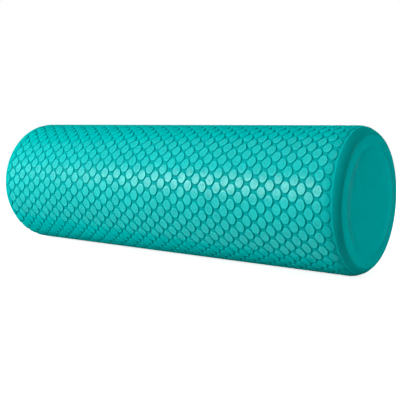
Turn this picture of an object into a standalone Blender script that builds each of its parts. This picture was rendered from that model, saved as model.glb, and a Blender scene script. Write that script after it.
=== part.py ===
"""Foam massage roller, lying on its side along X, in metres, Z up.

A solid foam log (foam_core) sits in a moulded foam tube (textured_skin). The tube carries staggered rows of
raised pads and ends in smooth rounded shoulders. A flat foam disc closes each end of the tube.
The origin is on the surface that the roller lies on, under the middle of the roller.
"""
import math

import bmesh
import bpy

# Overall sizes
ROLLER_LENGTH = 0.457
ROLLER_RADIUS = 0.0732  # over the pads

# Skin
SKIN_THICKNESS = 0.0078  # from the pad tops to the bore
SHOULDER_RADIUS = 0.0185  # of the rounding at each end
SHOULDER_STEPS = 1  # flats across what the pads leave of the rounding

# Pads
PADS_AROUND = 31  # in one column, evenly round the roller
PAD_COLUMNS = 50  # along the roller, each turned by half a pad against the last one
PLAIN_END = 0.0086  # between the pad field and each end of the roller
PAD_HEIGHT = 0.0026  # from the floor between the pads to their crests
STAR_WIDTH = 0.0049  # of the short floor line where four pads meet, along the roller

# Ends
DISC_THICKNESS = 0.006
RING_RADIUS = 0.0535  # middle of the plain sunk ring on each disc
RING_WIDTH = 0.0024
RING_DEPTH = 0.0005

CLEARANCE = 0.0003  # between pieces that are bonded face to face

# Everything below is worked out from the sizes above
HALF_LENGTH = ROLLER_LENGTH / 2
BORE_RADIUS = ROLLER_RADIUS - SKIN_THICKNESS
INNER_RADIUS = BORE_RADIUS - CLEARANCE
SHOULDER_TURN = math.acos(1 - SKIN_THICKNESS / SHOULDER_RADIUS)
SHOULDER_START = HALF_LENGTH - SHOULDER_RADIUS * math.sin(SHOULDER_TURN)
FIELD_END = HALF_LENGTH - PLAIN_END  # a little way over the rounding, which the outer pads run out into
FIELD_TURN = math.asin((FIELD_END - SHOULDER_START) / SHOULDER_RADIUS)
COLUMN_PITCH = 2 * FIELD_END / PAD_COLUMNS
FLOOR_RADIUS = ROLLER_RADIUS - PAD_HEIGHT
HALF_PAD_ANGLE = math.pi / PADS_AROUND
SIDES = 2 * PADS_AROUND
AXIS_HEIGHT = ROLLER_RADIUS * math.cos(HALF_PAD_ANGLE / 2)  # the roller lies on the flat of one row of pads
DISC_BACK = HALF_LENGTH - DISC_THICKNESS
CORE_HALF_LENGTH = DISC_BACK - CLEARANCE

SHARP_EDGE = math.radians(50)  # edges that turn more than this show as creases

# Look of each piece: colour, roughness
SKIN_LOOK = ((0.0, 0.48, 0.45, 1.0), 0.62)
DISC_LOOK = ((0.0, 0.42, 0.40, 1.0), 0.7)
CORE_LOOK = ((0.02, 0.40, 0.38, 1.0), 0.8)


def clear_scene():
    for obj in list(bpy.data.objects):
        bpy.data.objects.remove(obj)


def foam_material(name, look):
    colour, roughness = look
    material = bpy.data.materials.new(name)
    material.use_nodes = True
    shader = material.node_tree.nodes["Principled BSDF"]
    shader.inputs["Base Color"].default_value = colour
    shader.inputs["Roughness"].default_value = roughness
    shader.inputs["Metallic"].default_value = 0.0
    return material


def place(x, radius, steps):
    """A point at this radius, turned by so many half pads from straight down."""
    angle = steps * HALF_PAD_ANGLE
    return (x, radius * math.sin(angle), AXIS_HEIGHT - radius * math.cos(angle))


def add_ring(mesh, x, radius):
    """The corners of one turned ring, which are those of the pads' crests and lie midway between half pads."""
    return [mesh.verts.new(place(x, radius, side + 0.5)) for side in range(SIDES)]


def join_rings(mesh, rings):
    for first, second in zip(rings, rings[1:]):
        for side in range(SIDES):
            following = (side + 1) % SIDES
            mesh.faces.new((first[side], first[following], second[following], second[side]))


def finish_piece(name, mesh, look):
    bmesh.ops.recalc_face_normals(mesh, faces=mesh.faces)
    data = bpy.data.meshes.new(name)
    mesh.to_mesh(data)
    mesh.free()
    data.shade_smooth()
    data.set_sharp_from_angle(angle=SHARP_EDGE)
    data.materials.append(foam_material(name + "_foam", look))
    piece = bpy.data.objects.new(name, data)
    bpy.context.scene.collection.objects.link(piece)
    return piece


def turned_piece(name, profile, look):
    """A solid turned about the roller's axis from (x, radius) corners, closed by a flat at each end."""
    mesh = bmesh.new()
    rings = [add_ring(mesh, x, radius) for x, radius in profile]
    join_rings(mesh, rings)
    mesh.faces.new(rings[0])
    mesh.faces.new(rings[-1])
    return finish_piece(name, mesh, look)


def shoulder_profile():
    """(x, radius) corners from the end of the pad field to the mouth of the bore, for the +X end."""
    corners = []
    for step in range(SHOULDER_STEPS + 1):
        turn = FIELD_TURN + (SHOULDER_TURN - FIELD_TURN) * step / SHOULDER_STEPS
        x = SHOULDER_START + SHOULDER_RADIUS * math.sin(turn)
        corners.append((x, ROLLER_RADIUS - SHOULDER_RADIUS * (1 - math.cos(turn))))
    return corners


def column_x(column):
    return -FIELD_END + (column + 0.5) * COLUMN_PITCH


def add_stars(mesh):
    """The ends of the short floor lines, or stars, by column, half-pad step and side."""
    stars = {}
    for column in range(PAD_COLUMNS):
        for step in range((column + 1) % 2, SIDES, 2):
            for side in (-1, 1):
                x = column_x(column) + side * STAR_WIDTH / 2
                stars[column, step, side] = mesh.verts.new(place(x, FLOOR_RADIUS, step))
    return stars


def add_pads(mesh, far_ring, near_ring):
    """The field of pads between the two rings where the plain ends start.

    Each pad is a low hipped roof on a six-sided base. Its crest runs round the roller, half a pad pitch long,
    and its base corners are ends of the stars where four pads meet. The pads of the first and last columns
    run out into the shoulders.
    """
    crests = [add_ring(mesh, column_x(column), ROLLER_RADIUS) for column in range(PAD_COLUMNS)]
    stars = add_stars(mesh)
    for column in range(PAD_COLUMNS):
        for step in range(column % 2, SIDES, 2):
            below = (step - 1) % SIDES
            above = (step + 1) % SIDES
            low = crests[column][below]
            high = crests[column][step]
            mesh.faces.new((high, stars[column, above, -1], stars[column, above, 1]))
            mesh.faces.new((low, stars[column, below, 1], stars[column, below, -1]))
            for side in (-1, 1):
                low_star = stars[column, below, side]
                high_star = stars[column, above, side]
                if 0 <= column + side < PAD_COLUMNS:
                    tip = stars[column + side, step, -side]
                    mesh.faces.new((low, high, tip))
                    mesh.faces.new((high, high_star, tip))
                    mesh.faces.new((low, tip, low_star))
                else:
                    shoulder = near_ring if side > 0 else far_ring
                    mesh.faces.new((low, high, shoulder[step], shoulder[below]))
                    mesh.faces.new((high, high_star, shoulder[step]))
                    mesh.faces.new((high_star, shoulder[above], shoulder[step]))
                    mesh.faces.new((low, shoulder[below], low_star))


def textured_skin():
    mesh = bmesh.new()
    near = [add_ring(mesh, x, radius) for x, radius in shoulder_profile()]
    far = [add_ring(mesh, -x, radius) for x, radius in shoulder_profile()]
    add_pads(mesh, far[0], near[0])
    join_rings(mesh, near)
    join_rings(mesh, far)
    join_rings(mesh, [near[-1], far[-1]])
    return finish_piece("textured_skin", mesh, SKIN_LOOK)


def foam_core():
    ends = [(-CORE_HALF_LENGTH, INNER_RADIUS), (CORE_HALF_LENGTH, INNER_RADIUS)]
    return turned_piece("foam_core", ends, CORE_LOOK)


def end_disc(name, side):
    """A flat disc with one plain sunk ring. side is +1 for the near end and -1 for the far end."""
    outer = RING_RADIUS + RING_WIDTH / 2
    inner = RING_RADIUS - RING_WIDTH / 2
    floor = HALF_LENGTH - RING_DEPTH
    profile = [
        (DISC_BACK, INNER_RADIUS),
        (HALF_LENGTH, INNER_RADIUS),
        (HALF_LENGTH, outer),
        (floor, outer),
        (floor, inner),
        (HALF_LENGTH, inner),
    ]
    return turned_piece(name, [(side * x, radius) for x, radius in profile], DISC_LOOK)


def main():
    clear_scene()
    foam_core()
    textured_skin()
    end_disc("end_disc_near", 1)
    end_disc("end_disc_far", -1)


main()
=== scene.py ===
"""Looks of the foam massage roller, which lies on its side along X, in metres, Z up."""
import math

import bpy
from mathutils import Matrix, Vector


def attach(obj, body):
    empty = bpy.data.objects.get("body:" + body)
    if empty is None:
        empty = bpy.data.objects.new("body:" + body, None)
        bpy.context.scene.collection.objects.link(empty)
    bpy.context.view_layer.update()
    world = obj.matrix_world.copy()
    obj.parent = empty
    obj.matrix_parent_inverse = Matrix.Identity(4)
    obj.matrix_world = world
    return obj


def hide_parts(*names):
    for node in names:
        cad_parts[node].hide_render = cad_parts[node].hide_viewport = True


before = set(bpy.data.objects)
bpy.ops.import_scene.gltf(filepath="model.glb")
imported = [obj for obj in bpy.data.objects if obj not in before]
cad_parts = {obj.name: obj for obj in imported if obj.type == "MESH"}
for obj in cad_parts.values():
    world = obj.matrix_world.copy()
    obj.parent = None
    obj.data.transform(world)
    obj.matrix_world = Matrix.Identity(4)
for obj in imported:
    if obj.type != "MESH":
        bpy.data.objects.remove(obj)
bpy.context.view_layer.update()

# Overall sizes, as in the CAD. The pad tops lie just inside the CAD's 62 flats.
HALF_LENGTH = 0.2285
ROLLER_RADIUS = 0.0731
AXIS_HEIGHT = 0.073106
BORE_RADIUS = 0.0654
SHOULDER_RADIUS = 0.0184
SHOULDER_TURN = math.acos(1 - (ROLLER_RADIUS - BORE_RADIUS) / SHOULDER_RADIUS)
SHOULDER_START = HALF_LENGTH - SHOULDER_RADIUS * math.sin(SHOULDER_TURN)
SHOULDER_ROWS = 8

# The mouth: a smaller rounding, which touches the shoulder's from inside and ends square to the flat end
MOUTH_ROUNDING = 0.003
MOUTH_ROWS = 4
MOUTH_ALONG = HALF_LENGTH - MOUTH_ROUNDING
MOUTH_TURN = math.asin((MOUTH_ALONG - SHOULDER_START) / (SHOULDER_RADIUS - MOUTH_ROUNDING))
MOUTH_RADIUS = ROLLER_RADIUS - SHOULDER_RADIUS + (SHOULDER_RADIUS - MOUTH_ROUNDING) * math.cos(MOUTH_TURN)

# The lattice of pads, as in the CAD
PADS_AROUND = 31
PAD_COLUMNS = 50
PLAIN_END = 0.0086
FIELD_END = HALF_LENGTH - PLAIN_END
HALF_STEPS = 2 * PADS_AROUND
HALF_STEP = math.pi / PADS_AROUND
COLUMN_PITCH = 2 * FIELD_END / PAD_COLUMNS
ROW_PITCH = ROLLER_RADIUS * HALF_STEP  # half of the way from one pad of a column to the next

# How far the moulded pads lie from an even lattice, in metres, by powers of their share of the half length:
# for the side that faces FACING_ANGLE, and what a quarter turn from there adds. Both were measured on the
# photo's side and are carried on smoothly round the back.
DRIFT_ALONG = (0.00412, 0.00527, -0.00536, -0.00483)
DRIFT_ALONG_TURNED = (-0.0008, 0.00042, 0.0, 0.00283)
DRIFT_ROUND = (0.00005, 0.00189, 0.00312, 0.00187)
DRIFT_ROUND_TURNED = (0.00035, 0.00041, -0.0017, 0.0)
FACING_ANGLE = -17 * HALF_STEP

# One pad's outline: a six-sided figure with a rounding put round it
PAD_ROUNDING = 0.0034
PAD_TIP = 0.00136  # of the figure, along the roller from its middle
PAD_SHOULDER_X = 0.00027  # the figure's other corners
PAD_SHOULDER_Y = 0.00205
# Rings of a pad outwards from its middle: distance from the outline, depth below the pad top
PAD_RINGS = ((-0.00012, 0.0), (0.0002, 0.00018), (0.00042, 0.00105))
OUTLINE_LIMIT = 0.01  # farther out than any point of the outline
OUTLINE_HALVINGS = 30  # by which a point of the outline is found

# The cell round each pad, and the floor in it
FLOOR_DEPTH = 0.0012
STAR_HALF = 0.00245  # half of the floor line between a pad and the next one round the roller
TIP = COLUMN_PITCH - STAR_HALF  # how far a pad's cell reaches along the roller
BORDER_PARTS = 3  # of a cell's border, in each half step round the roller
RING_POINTS = BORDER_PARTS * HALF_STEPS
RUN_OUT_START = 0.0026  # from the middle of an outer column: where the floor starts to rise to the shoulder
RUN_OUT_END = 0.0070
RUN_OUT_ROWS = 2
KEYS_PER_METRE = 1e6  # how finely the corners of the cells are told apart, along the roller and round it
KEYS_PER_STEP = 60
NO_NORMAL = (0.0, 0.0, 0.0)

# The fine raised dots on the floor
DOT_PITCH = 0.0014
DOT_ROW_SHARE = math.sqrt(3) / 2  # of the pitch from one row to the next
DOT_RADIUS = 0.00042
DOT_HEIGHT = 0.0004
DOT_SUNK = 0.0001
DOT_SIDES = 7
DOT_CLEAR = 0.0007  # least distance from a dot's middle to a pad's outline
DOT_ROWS = (0.0059, 0.0071)  # beside the outer columns, from their middle

# The end discs, with one plain sunk ring, and the core between them
SEAM = 0.0001
DISC_RADIUS = MOUTH_RADIUS - SEAM
DISC_THICKNESS = 0.006
DISC_EDGE = 0.00015
DISC_EDGE_ROWS = 4
DISC_ROWS = (0.02, 0.04)  # radii of rows that keep the triangles of the flat face short
DISC_RIM = 3 * DISC_EDGE  # from the flat face's last row to the edge
RING_RADIUS = 0.0535
RING_WIDTH = 0.0007
RING_DEPTH = 0.0003
RING_SLOPE = 0.0006
TURNED_SIDES = 160
CORE_HALF_LENGTH = HALF_LENGTH - DISC_THICKNESS - SEAM
CORE_EDGE = 0.001
CORE_EDGE_ROWS = 3

CAMERA_PLACE = (0.5047, -0.6574, 0.1296)
CAMERA_TURN = (85.26, -0.966, 36.176)
CAMERA_LENS = 65.32
CAMERA_SENSOR = 36.0
CAMERA_CLIP = (0.01, 100)

# Soft lamps: name, how far along the roller they aim, azimuth from +X and elevation in degrees, distance,
# width and height in metres, watts
LAMPS = (
    ("key", 0.1, 236, 15.0, 1.6, (0.5, 0.48), 16.0),
    ("left_key", 0.0, 203, 9.0, 1.6, (0.7, 0.45), 1.9),
    ("overhead", 0.12, 268, 60.0, 1.6, (0.55, 0.45), 6.4),
    ("near_overhead", 0.2, 266, 68.0, 0.9, (0.4, 0.4), 0.8),
    ("end_fill", 0.0, 50, 9.0, 1.6, (0.55, 0.45), 10.3),
    ("back_fill", 0.0, 97, 20.0, 1.6, (0.9, 0.45), 6.9),
)
AIM_HEIGHT = 0.08

# The surroundings
WHITE = (1, 1, 1, 1)
WORLD_LEVEL = 0.02
FLOOR_GREY = 0.78
FLOOR_WHITE = 0.82  # of its own beside the roller, to which the light on it is added
FLOOR_SIZE = 30
WHITE_FROM = 0.5  # distance from the roller over which the floor's own white rises to full white
WHITE_TO = 1.6

# Attributes of the skin
FLOOR_SHARE = "floor_share"  # 0 on the pad tops, 1 on the floor; it also masks the painted shade on the floor
EDGE_SHARE = "edge_share"  # 0 in the middle of a pad's top, TOP_EDGE at its edge and 1 past it
TOP_EDGE = 0.8
OUTER_EDGE = 0.92  # on all of the outer columns' pads, which are nearly as dull as the shoulders

# The noise in the foams: the size of its spots, its detail, and how much it shades the colour
GRAIN_SIZE = 0.0009
GRAIN_DETAIL = 2.0
GRAIN_SHADE = 0.3
GRAIN_HEIGHT = GRAIN_SIZE / 2
SPOT_SIZE = 0.0024
SPOT_DETAIL = 1.0
SPOT_SHADE = 0.5
PATCH_SIZE = 0.03
PATCH_DETAIL = 2.0
PATCH_SHADE = 0.3
NOISE_ROUGHNESS = 0.55
NOISE_RANGE = (0.3, 0.7)  # in which nearly all of the noise lies
ROUGHNESS_SWING = 0.25  # by which the spots change the roughness, as a share of it
FACING_BLEND = 0.5  # with which the weight is 0 where the foam is seen face on, and 1 edge on
FACING_FULL = 0.3  # weight past which the foam loses its shine, up to the one where it has none
FACING_NONE = 0.52

# What the moulded foam has besides: lighter rims on its pads, which are a painted highlight, dull flanks,
# shoulders and floor in the grain's dark colour, and a floor painted darker still, which is painted shade in
# the recesses between the pads
RIM_HIGHLIGHT_START = 0.5  # edge shares between which a pad's rim is painted lighter, a painted highlight
RIM_HIGHLIGHT_FULL = 0.7
# painted highlight: how far and to which colour the pads' rims are lightened
RIM_HIGHLIGHT_SHARE = 0.8
RIM_HIGHLIGHT_COLOUR = (0.0, 0.68, 0.655)
FLOOR_SHADE_START = 0.3  # floor share past which the floor's painted shade sets in
# painted shade: the colour to which the floor between the pads is darkened, where shade falls in the recesses
FLOOR_SHADE_COLOUR = (0.0, 0.375, 0.37)
DULL_ROUGHNESS = 0.6
DULL_SHINE = 0.1  # share of the shine that is left on the dull parts

# The foams: name, light and dark of the grain, roughness, shine, strength of the grain's bumps
SKIN_FOAM = ("skin_foam", (0.0, 0.7, 0.66), (0.0, 0.45, 0.435), 0.2, 0.21, 0.45)
# the dot foam's colours are painted lighter than the skin's, a painted highlight for the light that the
# raised dots catch
DOT_GLINT_FOAM = ("dot_foam_painted_glint", (0.0, 0.8, 0.78), (0.0, 0.7, 0.685), 0.5, 0.04, 0.1)
DISC_FOAM = ("disc_foam", (0.0, 0.57, 0.555), (0.0, 0.52, 0.51), 0.75, 0.08, 0.25)
CORE_FOAM = ("core_foam", (0.01, 0.50, 0.48), (0.01, 0.44, 0.42), 0.8, 0.05, 0.3)


def smooth(value):
    """0 below 0, 1 above 1, and a soft rise between them."""
    value = min(max(value, 0.0), 1.0)
    return value * value * (3 - 2 * value)


def turned_place(x, radius, angle):
    """The point this far along the roller and from its axis, turned by angle from straight down."""
    return (x, radius * math.sin(angle), AXIS_HEIGHT - radius * math.cos(angle))


def profile(reach):
    """(x, radius, turn) of the roller's outer surface this far along it from the middle."""
    side = math.copysign(1.0, reach)
    past = abs(reach) - SHOULDER_START
    if past <= 0:
        return reach, ROLLER_RADIUS, 0.0
    turn = past / SHOULDER_RADIUS
    x = SHOULDER_START + SHOULDER_RADIUS * math.sin(turn)
    return side * x, ROLLER_RADIUS - SHOULDER_RADIUS * (1 - math.cos(turn)), side * turn


def surface_place(reach, angle, depth):
    """The point this deep below the roller's outer surface."""
    x, radius, _ = profile(reach)
    return turned_place(x, radius - depth, angle)


def facing(reach, angle):
    """The direction that the roller's outer surface faces."""
    turn = profile(reach)[2]
    return (math.sin(turn), math.cos(turn) * math.sin(angle), -math.cos(turn) * math.cos(angle))


def drift(reach, angle):
    """How far a pad lies from its place in an even lattice, along the roller and round it, in metres."""
    share = reach / HALF_LENGTH
    turned = math.sin(angle - FACING_ANGLE)
    drifts = []
    for ahead, aside in ((DRIFT_ALONG, DRIFT_ALONG_TURNED), (DRIFT_ROUND, DRIFT_ROUND_TURNED)):
        drifts.append(sum((a + b * turned) * share ** n for n, (a, b) in enumerate(zip(ahead, aside))))
    return drifts


def drifted(reach, steps):
    """(reach, angle) of a point of the pad field, given in an even lattice in metres and half steps."""
    angle = steps * HALF_STEP
    along, around = drift(reach, angle)
    return reach + along, angle + around / ROLLER_RADIUS


def outline_gap(x, y):
    """How far a point, in metres from a pad's middle, lies outside the pad's outline.

    flank is how far it is from the figure's slanted side, and top from its flat one.
    """
    x, y = abs(x), abs(y)
    edge_x, edge_y = PAD_SHOULDER_X - PAD_TIP, PAD_SHOULDER_Y
    along = ((x - PAD_TIP) * edge_x + y * edge_y) / (edge_x ** 2 + edge_y ** 2)
    along = min(max(along, 0.0), 1.0)
    flank = math.hypot(x - PAD_TIP - along * edge_x, y - along * edge_y)
    top = math.hypot(max(x - PAD_SHOULDER_X, 0.0), y - PAD_SHOULDER_Y)
    inside = x * edge_y - (y * edge_x) < PAD_TIP * edge_y and y < PAD_SHOULDER_Y
    return (-flank if inside else min(flank, top)) - PAD_ROUNDING


def outline_reach(across, around, offset):
    """How far the pad's outline, moved out by offset, lies from its middle in this direction."""
    length = math.hypot(across, around)
    near, far = 0.0, OUTLINE_LIMIT
    for _ in range(OUTLINE_HALVINGS):
        middle = (near + far) / 2
        if outline_gap(across / length * middle, around / length * middle) < offset:
            near = middle
        else:
            far = middle
    return middle


def flank_across(part):
    """How far along the roller a cell's border lies, this many half steps round from the pad's middle."""
    return TIP + (STAR_HALF - TIP) * part


def cell_border():
    """(across, around) of the points round a pad's cell from its +X tip, around in half steps."""
    parts = [part / BORDER_PARTS for part in range(BORDER_PARTS + 1)]
    quarter = [(flank_across(part), part) for part in parts]
    upper = quarter + [(0.0, 1.0)] + [(-x, y) for x, y in reversed(quarter)]
    return upper[:-1] + [(-x, -y) for x, y in upper[:-1]]


class Skin:
    """Collects the points and faces of the moulded skin."""

    def __init__(self):
        self.points = []
        self.normals = []
        self.depths = []
        self.edges = []
        self.faces = []
        self.known = {}

    def add(self, place, normal=NO_NORMAL, depth=0.0, edge=1.0):
        """Adds a point. Its normal is only given where the smoothed one isn't wanted.

        edge says how far it lies from the middle of a pad's flat top, where 1 is past its edge.
        """
        self.points.append(place)
        self.normals.append(normal)
        self.depths.append(depth / FLOOR_DEPTH)
        self.edges.append(edge)
        return len(self.points) - 1

    def shared(self, reach, steps, depth):
        """The point at this place of the lattice, made once for all the cells that meet there."""
        around = round(steps % HALF_STEPS * KEYS_PER_STEP) % (HALF_STEPS * KEYS_PER_STEP)
        key = (round(reach * KEYS_PER_METRE), around)
        if key not in self.known:
            self.known[key] = self.add(surface_place(*drifted(reach, steps), depth), depth=depth)
        return self.known[key]

    def band(self, inner, outer):
        """The faces between two closed rings of points."""
        for n in range(len(inner)):
            after = (n + 1) % len(inner)
            self.faces.append((inner[n], inner[after], outer[after], outer[n]))

    def join(self, ring, following, side):
        """The faces between two rings round the roller, of which the second lies nearer to this end."""
        if side > 0:
            self.band(ring, following)
        else:
            self.band(following, ring)


def outer_side(column):
    """1 for the last column, -1 for the first one, 0 for those between."""
    if column == PAD_COLUMNS - 1:
        return 1
    return -1 if column == 0 else 0


def column_middle(column):
    return -FIELD_END + (column + 0.5) * COLUMN_PITCH


def end_fade(column, across):
    """1 over the field, falling to 0 where the outer columns run out into the shoulders."""
    past = outer_side(column) * across - RUN_OUT_START
    return 1 - smooth(past / (RUN_OUT_END - RUN_OUT_START))


def add_pad(skin, column, step, border, reaches):
    """One pad with the floor of its cell."""
    middle = column_middle(column)
    place = drifted(middle, step)
    dulled = OUTER_EDGE if outer_side(column) else 0.0
    centre = skin.add(surface_place(*place, 0.0), facing(*place), edge=dulled)
    rings = []
    for (_, depth), reach_list in zip(PAD_RINGS, reaches):
        ring = []
        for (across, around), reach in zip(border, reach_list):
            part = reach / math.hypot(across, around * ROW_PITCH)
            place = drifted(middle + across * part, step + around * part)
            faded = depth * end_fade(column, across * part)
            normal = NO_NORMAL if depth else facing(*place)
            edge = 1.0 if depth else max(TOP_EDGE, dulled)
            ring.append(skin.add(surface_place(*place, faded), normal, faded, edge))
        rings.append(ring)
    outer = []
    for across, around in border:
        depth = FLOOR_DEPTH * end_fade(column, across)
        outer.append(skin.shared(middle + across, step + around, depth))
    count = len(border)
    for n in range(count):
        skin.faces.append((centre, rings[0][(n + 1) % count], rings[0][n]))
    for inner_ring, outer_ring in zip(rings, rings[1:] + [outer]):
        skin.band(inner_ring, outer_ring)


def add_run_out(skin, side):
    """The floor between an outer column's pads and the shoulder, to which it rises. Returns its last ring."""
    column = PAD_COLUMNS - 1 if side > 0 else 0
    middle = column_middle(column)
    points_per_pad = 2 * BORDER_PARTS
    ring = []
    for row in range(RUN_OUT_ROWS + 1):
        following = []
        for n in range(RING_POINTS):
            off = (n - BORDER_PARTS * column) % points_per_pad
            across = flank_across(min(off, points_per_pad - off) / BORDER_PARTS)
            across = side * (across + (RUN_OUT_END - across) * row / RUN_OUT_ROWS)
            depth = FLOOR_DEPTH * end_fade(column, across)
            following.append(skin.shared(middle + across, n / BORDER_PARTS, depth))
        if ring:
            skin.join(ring, following, side)
        ring = following
    return ring


def mouth_corners():
    """(x, radius) corners of the mouth at the +X end, from the shoulder's rounding to behind the disc."""
    corners = []
    for row in range(1, MOUTH_ROWS + 1):
        turn = MOUTH_TURN + (math.pi / 2 - MOUTH_TURN) * (row / MOUTH_ROWS)
        x = MOUTH_ALONG + MOUTH_ROUNDING * math.sin(turn)
        corners.append((x, MOUTH_RADIUS + MOUTH_ROUNDING * math.cos(turn)))
    x, radius = corners[-1]
    corners.append((x - DISC_THICKNESS, radius))
    return corners


def add_shoulder(skin, side):
    """Rows from the end of the field over the rounding and into the mouth. Returns the last ring."""
    ring = add_run_out(skin, side)
    begin = side * (column_middle(PAD_COLUMNS - 1) + RUN_OUT_END)
    full = side * (SHOULDER_START + SHOULDER_RADIUS * MOUTH_TURN)
    starts = [drifted(begin, n / BORDER_PARTS) for n in range(RING_POINTS)]
    rows = []
    for row in range(1, SHOULDER_ROWS + 1):
        share = row / SHOULDER_ROWS
        rows.append([surface_place(reach + (full - reach) * share, angle, 0.0) for reach, angle in starts])
    for x, radius in mouth_corners():
        rows.append([turned_place(side * x, radius, angle) for _, angle in starts])
    for row in rows:
        following = [skin.add(place) for place in row]
        skin.join(ring, following, side)
        ring = following
    return ring


def textured_skin():
    """The field of pads and both shoulders, closed by the bore between their mouths."""
    skin = Skin()
    border = cell_border()
    reaches = []
    for offset, _ in PAD_RINGS:
        reaches.append([outline_reach(x, y * ROW_PITCH, offset) for x, y in border])
    for column in range(PAD_COLUMNS):
        for step in range(column % 2, HALF_STEPS, 2):
            add_pad(skin, column, step, border, reaches)
    near = add_shoulder(skin, 1)
    far = add_shoulder(skin, -1)
    skin.band(near, far)
    piece = make_piece("moulded_skin", skin.points, skin.faces)
    piece.data.normals_split_custom_set_from_vertices(skin.normals)
    for name, shares in ((FLOOR_SHARE, skin.depths), (EDGE_SHARE, skin.edges)):
        attribute = piece.data.attributes.new(name, "FLOAT", "POINT")
        attribute.data.foreach_set("value", shares)
    return piece


def star_dots():
    """Places of the dots on the floor where four pads meet, in metres from its middle."""
    pads = ((0.0, ROW_PITCH), (0.0, -ROW_PITCH), (COLUMN_PITCH, 0.0), (-COLUMN_PITCH, 0.0))
    places = []
    rows = round(ROW_PITCH / DOT_PITCH)
    columns = round(COLUMN_PITCH / DOT_PITCH)
    for row in range(-rows, rows + 1):
        for n in range(-columns, columns + 1):
            x = (n + row % 2 / 2) * DOT_PITCH
            y = row * DOT_PITCH * DOT_ROW_SHARE
            inside = abs(x) / COLUMN_PITCH + abs(y) / ROW_PITCH < 1
            if inside and min(outline_gap(x - px, y - py) for px, py in pads) > DOT_CLEAR:
                places.append((x, y))
    return places


def add_dot(points, faces, reach, angle, depth):
    """A low round dot with its middle at this place of the floor."""
    top = Vector(surface_place(reach, angle, depth - DOT_HEIGHT))
    foot = Vector(surface_place(reach, angle, depth + DOT_SUNK))
    normal = Vector(facing(reach, angle))
    aside = Vector((0.0, math.cos(angle), math.sin(angle)))
    onward = aside.cross(normal)
    first = len(points)
    points.append(tuple(top))
    for n in range(DOT_SIDES):
        turn = 2 * math.pi * n / DOT_SIDES
        points.append(tuple(foot + DOT_RADIUS * (math.cos(turn) * aside + math.sin(turn) * onward)))
        faces.append((first, first + 1 + n, first + 1 + (n + 1) % DOT_SIDES))


def floor_dots():
    """The dots between the pads, and rows of them beside the outer columns."""
    points = []
    faces = []
    star = star_dots()
    for column in range(PAD_COLUMNS):
        middle = column_middle(column)
        for step in range((column + 1) % 2, HALF_STEPS, 2):
            for across, around in star:
                depth = FLOOR_DEPTH * end_fade(column, across)
                place = drifted(middle + across, step + around / ROW_PITCH)
                add_dot(points, faces, *place, depth)
    count = round(2 * math.pi * ROLLER_RADIUS / DOT_PITCH)
    for side, column in ((-1, 0), (1, PAD_COLUMNS - 1)):
        for row, across in enumerate(DOT_ROWS):
            for n in range(count):
                place = drifted(column_middle(column) + side * across, (n + row / 2) * HALF_STEPS / count)
                add_dot(points, faces, *place, FLOOR_DEPTH * end_fade(column, side * across))
    return make_piece("floor_dots", points, faces)


def make_piece(name, points, faces):
    data = bpy.data.meshes.new(name)
    data.from_pydata(points, [], faces)
    data.validate()
    data.shade_smooth()
    piece = bpy.data.objects.new(name, data)
    bpy.context.scene.collection.objects.link(piece)
    return piece


def turned_piece(name, corners, side):
    """A solid turned about the roller's axis from (x, radius) corners that start and end on the axis."""
    points = [turned_place(side * x, 0.0, 0.0) for x, _ in (corners[0], corners[-1])]
    rings = []
    for x, radius in corners[1:-1]:
        ring = []
        for n in range(TURNED_SIDES):
            points.append(turned_place(side * x, radius, 2 * math.pi * n / TURNED_SIDES))
            ring.append(len(points) - 1)
        rings.append(ring)
    faces = []
    for n in range(TURNED_SIDES):
        after = (n + 1) % TURNED_SIDES
        faces.append((0, rings[0][n], rings[0][after]))
        faces.append((1, rings[-1][after], rings[-1][n]))
        for first, second in zip(rings, rings[1:]):
            faces.append((first[n], second[n], second[after], first[after]))
    if side < 0:
        faces = [face[::-1] for face in faces]
    return make_piece(name, points, faces)


def rounded_edge(x, radius, rounding, rows):
    """(x, radius) corners over the rounded edge of a turned solid, from its flat end to its side."""
    corners = []
    for row in range(rows + 1):
        turn = row * math.pi / (2 * rows)
        corners.append((x - rounding * (1 - math.cos(turn)), radius - rounding * (1 - math.sin(turn))))
    return corners


def core_log():
    """The solid foam inside the skin, between the two discs."""
    corners = [(CORE_HALF_LENGTH, 0.0)]
    corners += rounded_edge(CORE_HALF_LENGTH, DISC_RADIUS, CORE_EDGE, CORE_EDGE_ROWS)
    corners += [(-x, radius) for x, radius in corners[::-1]]
    return turned_piece("core_log", corners, 1)


def end_disc(name, side):
    """A flat disc with its sunk ring. side is 1 for the near end and -1 for the far end."""
    outer = RING_RADIUS + RING_WIDTH / 2
    inner = RING_RADIUS - RING_WIDTH / 2
    floor = HALF_LENGTH - RING_DEPTH
    back = HALF_LENGTH - DISC_THICKNESS
    corners = [(HALF_LENGTH, radius) for radius in (0.0, *DISC_ROWS, inner - RING_SLOPE)]
    corners += [(floor, inner), (floor, outer)]
    corners += [(HALF_LENGTH, outer + RING_SLOPE), (HALF_LENGTH, DISC_RADIUS - DISC_RIM)]
    corners += rounded_edge(HALF_LENGTH, DISC_RADIUS, DISC_EDGE, DISC_EDGE_ROWS)
    corners += [(back, DISC_RADIUS), (back, 0.0)]
    return turned_piece(name, corners, side)


def add_camera():
    data = bpy.data.cameras.new("camera")
    data.lens = CAMERA_LENS
    data.sensor_width = CAMERA_SENSOR
    data.clip_start, data.clip_end = CAMERA_CLIP
    camera = bpy.data.objects.new("camera", data)
    camera.location = CAMERA_PLACE
    camera.rotation_euler = [math.radians(angle) for angle in CAMERA_TURN]
    bpy.context.scene.collection.objects.link(camera)
    bpy.context.scene.camera = camera


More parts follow.
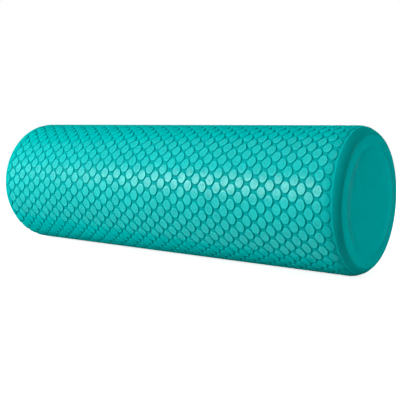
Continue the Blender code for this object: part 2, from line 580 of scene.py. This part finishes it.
def add_lamp(name, along, azimuth, elevation, distance, size, watts):
    data = bpy.data.lights.new(name, "AREA")
    data.shape = "RECTANGLE"
    data.size, data.size_y = size
    data.energy = watts
    lamp = bpy.data.objects.new(name, data)
    turn, rise = math.radians(azimuth), math.radians(elevation)
    way = Vector((math.cos(rise) * math.cos(turn), math.cos(rise) * math.sin(turn), math.sin(rise)))
    lamp.location = Vector((along, 0.0, AIM_HEIGHT)) + distance * way
    lamp.rotation_euler = (-way).to_track_quat("-Z", "Y").to_euler()
    bpy.context.scene.collection.objects.link(lamp)


def node(tree, kind, **settings):
    """A new node, with its settings and the values of its sockets."""
    made = tree.nodes.new(kind)
    for name, value in settings.items():
        if name in made.inputs:
            made.inputs[name].default_value = value
        else:
            setattr(made, name, value)
    return made


def stretched(tree, value, low, high, start=0.0, end=1.0, curve="LINEAR"):
    """The value, stretched from start and end to low and high."""
    ranged = node(tree, "ShaderNodeMapRange", interpolation_type=curve)
    tree.links.new(value, ranged.inputs["Value"])
    for name, number in (("From Min", start), ("From Max", end), ("To Min", low), ("To Max", high)):
        ranged.inputs[name].default_value = number
    return ranged.outputs["Result"]


def joined(tree, operation, first, second):
    """The sum, product or the like of two values."""
    joint = node(tree, "ShaderNodeMath", operation=operation)
    tree.links.new(first, joint.inputs[0])
    tree.links.new(second, joint.inputs[1])
    return joint.outputs[0]


def blended(tree, share, first, second):
    """A colour between two, either of them a colour or a socket."""
    mix = node(tree, "ShaderNodeMix", data_type="RGBA")  # for colours it uses inputs 6 and 7 and output 2
    tree.links.new(share, mix.inputs["Factor"])
    for colour, socket in ((first, mix.inputs[6]), (second, mix.inputs[7])):
        if isinstance(colour, tuple):
            socket.default_value = (*colour, 1)
        else:
            tree.links.new(colour, socket)
    return mix.outputs[2]


def mottle(tree, size, detail):
    """Soft noise with spots of about this size."""
    coordinates = node(tree, "ShaderNodeTexCoord")
    noise = node(tree, "ShaderNodeTexNoise", Scale=1 / size, Detail=detail, Roughness=NOISE_ROUGHNESS)
    tree.links.new(coordinates.outputs["Object"], noise.inputs["Vector"])
    return noise.outputs["Fac"]


def seen_factor(tree):
    """1 for rays from the camera, and for mirrored and see-through ones, 0 for those that light things."""
    path = node(tree, "ShaderNodeLightPath")
    found = path.outputs["Is Camera Ray"]
    for kind in ("Is Glossy Ray", "Is Transmission Ray"):
        found = joined(tree, "MAXIMUM", found, path.outputs[kind])
    return found


def add_world():
    """A white background that lights things only a little."""
    world = bpy.data.worlds.new("world")
    bpy.context.scene.world = world
    world.use_nodes = True
    tree = world.node_tree
    tree.nodes.clear()
    light = node(tree, "ShaderNodeBackground", Color=WHITE, Strength=WORLD_LEVEL)
    white = node(tree, "ShaderNodeBackground", Color=WHITE)
    mix = node(tree, "ShaderNodeMixShader")
    tree.links.new(seen_factor(tree), mix.inputs["Fac"])
    tree.links.new(light.outputs[0], mix.inputs[1])
    tree.links.new(white.outputs[0], mix.inputs[2])
    output = node(tree, "ShaderNodeOutputWorld")
    tree.links.new(mix.outputs[0], output.inputs["Surface"])


def add_floor():
    """A white floor that keeps the roller's soft shadow. Its own white is only for rays from the camera."""
    corners = [(FLOOR_SIZE * x, FLOOR_SIZE * y, 0) for x, y in ((-1, -1), (1, -1), (1, 1), (-1, 1))]
    floor = make_piece("floor", corners, [(0, 1, 2, 3)])
    material = bpy.data.materials.new("floor")
    material.use_nodes = True
    tree = material.node_tree
    tree.nodes.clear()
    grey = node(tree, "ShaderNodeBsdfDiffuse", Color=(FLOOR_GREY, FLOOR_GREY, FLOOR_GREY, 1))
    coordinates = node(tree, "ShaderNodeTexCoord")
    distance = node(tree, "ShaderNodeVectorMath", operation="LENGTH")
    tree.links.new(coordinates.outputs["Object"], distance.inputs[0])
    white = stretched(tree, distance.outputs["Value"], FLOOR_WHITE, 1.0, WHITE_FROM, WHITE_TO, "SMOOTHSTEP")
    glow = node(tree, "ShaderNodeEmission")
    tree.links.new(joined(tree, "MULTIPLY", white, seen_factor(tree)), glow.inputs["Strength"])
    both = node(tree, "ShaderNodeAddShader")
    tree.links.new(grey.outputs[0], both.inputs[0])
    tree.links.new(glow.outputs[0], both.inputs[1])
    output = node(tree, "ShaderNodeOutputMaterial")
    tree.links.new(both.outputs[0], output.inputs["Surface"])
    floor.data.materials.append(material)


def foam(name, light, dark, roughness, shine, bump, moulded=False):
    """Closed-cell foam: fine grain over soft patches, without shine where it is seen at a slant.

    Moulded foam has polished pads whose rims are painted lighter as a painted highlight, over a dull floor
    that is painted darker as shade in the recesses; the dull parts take the grain's dark colour.
    """
    material = bpy.data.materials.new(name)
    material.use_nodes = True
    tree = material.node_tree
    shader = tree.nodes["Principled BSDF"]
    grain = mottle(tree, GRAIN_SIZE, GRAIN_DETAIL)
    spots = mottle(tree, SPOT_SIZE, SPOT_DETAIL)
    patches = mottle(tree, PATCH_SIZE, PATCH_DETAIL)
    shade = stretched(tree, grain, 0.0, GRAIN_SHADE, *NOISE_RANGE)
    for noise, most in ((patches, PATCH_SHADE), (spots, SPOT_SHADE)):
        shade = joined(tree, "ADD", shade, stretched(tree, noise, 0.0, most, *NOISE_RANGE))
    colour = blended(tree, shade, light, dark)
    swing = (roughness * (1 - ROUGHNESS_SWING), roughness * (1 + ROUGHNESS_SWING))
    rough = stretched(tree, spots, *swing, *NOISE_RANGE)
    weight = node(tree, "ShaderNodeLayerWeight", Blend=FACING_BLEND)
    level = stretched(tree, weight.outputs["Facing"], shine, 0.0, FACING_FULL, FACING_NONE)
    if moulded:
        edge = node(tree, "ShaderNodeAttribute", attribute_name=EDGE_SHARE).outputs["Fac"]
        depth = node(tree, "ShaderNodeAttribute", attribute_name=FLOOR_SHARE).outputs["Fac"]
        # painted highlight on the pads' rims, the grain's dark colour on the dull parts, and painted shade on
        # the floor between the pads
        rim_highlight = stretched(tree, edge, 0.0, RIM_HIGHLIGHT_SHARE, RIM_HIGHLIGHT_START, RIM_HIGHLIGHT_FULL)
        dull = stretched(tree, edge, 0.0, 1.0, TOP_EDGE, 1.0)
        floor = stretched(tree, depth, 0.0, 1.0, FLOOR_SHADE_START, 1.0)
        for share, tint in ((rim_highlight, RIM_HIGHLIGHT_COLOUR), (dull, dark), (floor, FLOOR_SHADE_COLOUR)):
            colour = blended(tree, share, colour, tint)
        rough = joined(tree, "MAXIMUM", rough, stretched(tree, dull, 0.0, DULL_ROUGHNESS))
        level = joined(tree, "MULTIPLY", level, stretched(tree, dull, 1.0, DULL_SHINE))
    raised = node(tree, "ShaderNodeBump", Strength=bump, Distance=GRAIN_HEIGHT)
    tree.links.new(joined(tree, "ADD", grain, spots), raised.inputs["Height"])
    tree.links.new(raised.outputs["Normal"], shader.inputs["Normal"])
    tree.links.new(colour, shader.inputs["Base Color"])
    tree.links.new(rough, shader.inputs["Roughness"])
    tree.links.new(level, shader.inputs["Specular IOR Level"])
    return material


def main():
    add_camera()
    add_world()
    add_floor()
    for lamp in LAMPS:
        add_lamp(*lamp)
    skin_look = foam(*SKIN_FOAM, moulded=True)
    dot_glint_look = foam(*DOT_GLINT_FOAM)
    disc_look = foam(*DISC_FOAM)
    core_look = foam(*CORE_FOAM)
    for piece, cad_node, slot, look in (
            (textured_skin(), "textured_skin", "skin_foam", skin_look),
            (floor_dots(), "textured_skin", "skin_foam", dot_glint_look),
            (end_disc("end_disc_near_face", 1), "end_disc_near", "disc_foam", disc_look),
            (end_disc("end_disc_far_face", -1), "end_disc_far", "disc_foam", disc_look),
            (core_log(), "foam_core", "core_foam", core_look)):
        piece.data.materials.append(look)
        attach(piece, "root")
        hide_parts(cad_node)
        print(piece.name, "triangles", sum(len(face.vertices) - 2 for face in piece.data.polygons))
    view = bpy.context.scene.view_settings
    view.view_transform = "Standard"


main()
